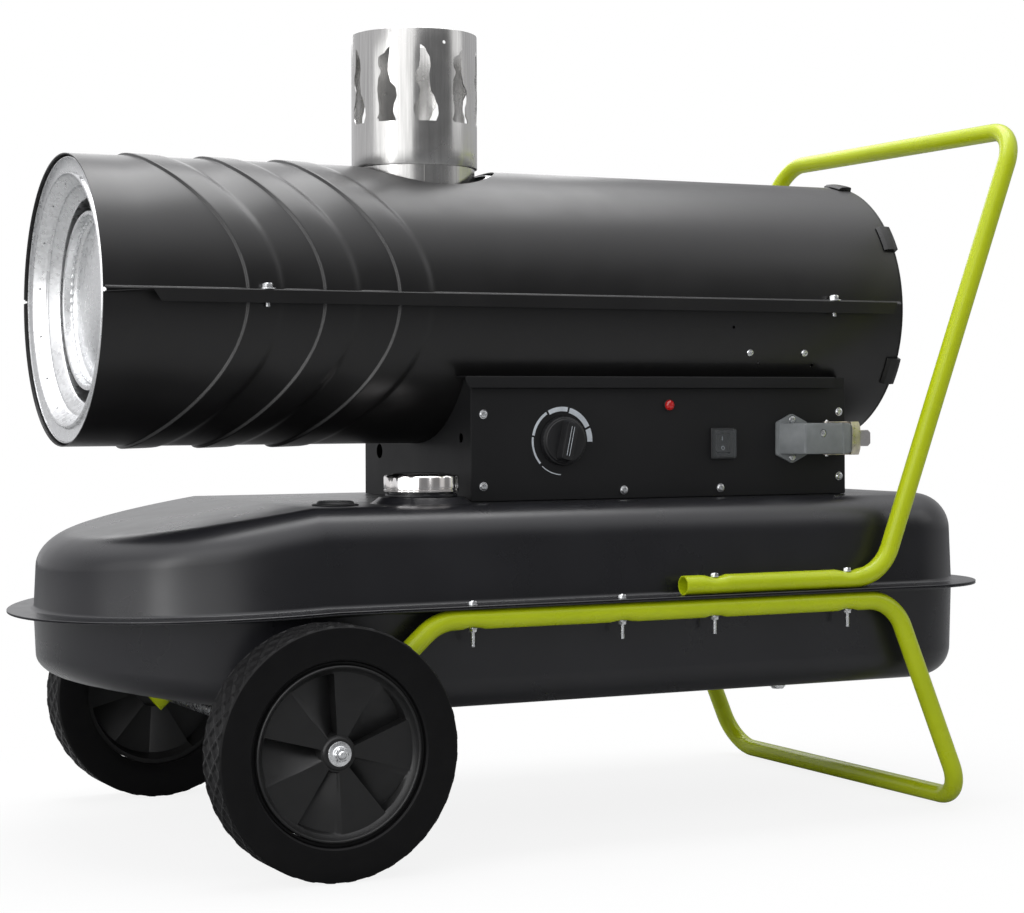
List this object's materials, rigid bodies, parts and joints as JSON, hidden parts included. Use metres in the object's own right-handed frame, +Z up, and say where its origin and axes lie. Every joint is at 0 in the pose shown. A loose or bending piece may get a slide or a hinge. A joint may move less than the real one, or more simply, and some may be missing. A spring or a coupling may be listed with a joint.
{
  "type": "diesel forced air heater",
  "caption": "Flue-fired forced air heater: black two-part barrel with slotted flue sleeve and control box on a flanged fuel tank, with wheels and a green tube frame and push handle.",
  "frame": {"origin": "centre of the bounding box on the floor, where the wheels and the foot bar stand", "axes": "+X from the hot-air outlet towards the push handle, -Y out of the side with the control panel, +Z up"},
  "size_m": [1.143, 0.6376, 0.894],
  "materials": {
    "tank_black": "satin black paint",
    "barrel_black": "fine textured black powder coat",
    "frame_green": "glossy yellow-green powder coat",
    "zinc": "bright zinc plating",
    "galvanised": "galvanised sheet",
    "flue_steel": "bright brushed steel",
    "cap_chrome": "chromed",
    "black_plastic": "matt moulded",
    "tyre_rubber": "matt rubber",
    "seal_rubber": "matt rubber",
    "grey_plastic": "matt moulded",
    "clear_plastic": "smoky clear",
    "red_plastic": "glossy red",
    "pump_alloy": "cast",
    "nozzle_brass": "turned",
    "amber_plastic": "amber, clear",
    "board_green": "resin board",
    "electrode_ceramic": "glazed ceramic, stated as hard plastic"
  },
  "bodies": {
    "heater": {"tank_upper": "tank_black", "tank_lower": "tank_black", "filler_neck": "tank_black", "upper_shell": "barrel_black", "lower_shell": "barrel_black", "control_box": "barrel_black", "control_panel": "barrel_black", "motor": "barrel_black", "foot_frame": "frame_green", "handle_frame": "frame_green", "frame_bolt_near_1": "zinc", "frame_bolt_near_2": "zinc", "frame_bolt_near_3": "zinc", "frame_bolt_near_4": "zinc", "frame_bolt_far_1": "zinc", "frame_bolt_far_2": "zinc", "frame_bolt_far_3": "zinc", "frame_bolt_far_4": "zinc", "axle": "zinc", "hub_bolt_near": "zinc", "hub_bolt_far": "zinc", "drain_plug": "zinc", "heat_shield": "galvanised", "outlet_ring": "galvanised", "combustion_drum": "galvanised", "drum_support": "galvanised", "burner_plate": "galvanised", "diffuser_disc": "galvanised", "motor_cradle": "galvanised", "suction_pipe": "galvanised", "flue_collar": "flue_steel", "chimney_sleeve": "flue_steel", "intake_guard": "black_plastic", "switch_frame": "black_plastic", "connector_cap": "black_plastic", "fuel_gauge": "black_plastic", "ignition_transformer": "black_plastic", "supply_hose": "seal_rubber", "connector_housing": "grey_plastic", "thermostat_body": "grey_plastic", "switch_cover": "clear_plastic", "indicator_lamp": "red_plastic", "fuel_pump": "pump_alloy", "nozzle_holder": "nozzle_brass", "fuel_filter": "amber_plastic", "control_board": "board_green", "ignition_electrodes": "electrode_ceramic"},
    "wheel_near": {"tyre_near": "tyre_rubber", "rim_near": "black_plastic"},
    "wheel_far": {"tyre_far": "tyre_rubber", "rim_far": "black_plastic"},
    "fan_rotor": {"fan": "black_plastic", "motor_shaft": "zinc"},
    "knob": {"thermostat_knob": "black_plastic"},
    "rocker": {"switch_rocker": "black_plastic"},
    "cap_seal": {"cap_gasket": "seal_rubber"},
    "cap": {"fuel_cap": "cap_chrome"},
    "lever": {"connector_lever": "zinc"},
    "float": {"gauge_float": "black_plastic"},
    "needle": {"gauge_needle": "red_plastic"}
  },
  "joints": [
    {"name": "wheel_near_spin", "type": "hinge", "parent": "heater", "child": "wheel_near", "pos_m": [-0.32601, -0.292, 0.127], "axis": [0, 1, 0], "continuous": true},
    {"name": "wheel_far_spin", "type": "hinge", "parent": "heater", "child": "wheel_far", "pos_m": [-0.32601, 0.292, 0.127], "axis": [0, 1, 0], "continuous": true},
    {"name": "fan_spin", "type": "hinge", "parent": "heater", "child": "fan_rotor", "pos_m": [0.40999, 0, 0.585], "axis": [1, 0, 0], "continuous": true},
    {"name": "thermostat_turn", "type": "hinge", "parent": "heater", "child": "knob", "pos_m": [0.00599, -0.1506, 0.431], "axis": [0, -1, 0], "range_deg": [-80, 150]},
    {"name": "switch_rock", "type": "hinge", "parent": "heater", "child": "rocker", "pos_m": [0.21349, -0.1478, 0.426], "axis": [1, 0, 0], "range_deg": [0, 16]},
    {"name": "cap_lift_off", "type": "slide", "parent": "heater", "child": "cap_seal", "axis": [0, 0, 1], "range_m": [0, 0.04]},
    {"name": "cap_turn", "type": "hinge", "parent": "cap_seal", "child": "cap", "pos_m": [-0.15901, -0.135, 0.3936], "axis": [0, 0, 1], "range_deg": [0, 90]},
    {"name": "connector_lever_swing", "type": "hinge", "parent": "heater", "child": "lever", "pos_m": [0.34599, -0.1668, 0.431], "axis": [0, 0, -1], "range_deg": [0, 95]},
    {"name": "float_swing", "type": "hinge", "parent": "heater", "child": "float", "pos_m": [-0.26401, -0.146, 0.3073], "axis": [0, 1, 0], "range_deg": [-40, 12]},
    {"name": "needle_turn", "type": "hinge", "parent": "heater", "child": "needle", "pos_m": [-0.26401, -0.146, 0.3676], "axis": [0, 0, 1], "range_deg": [-20, 62]}
  ],
  "couplings": [
    {"joint": "needle_turn", "follows": "float_swing", "ratio": -1.5}
  ]
}
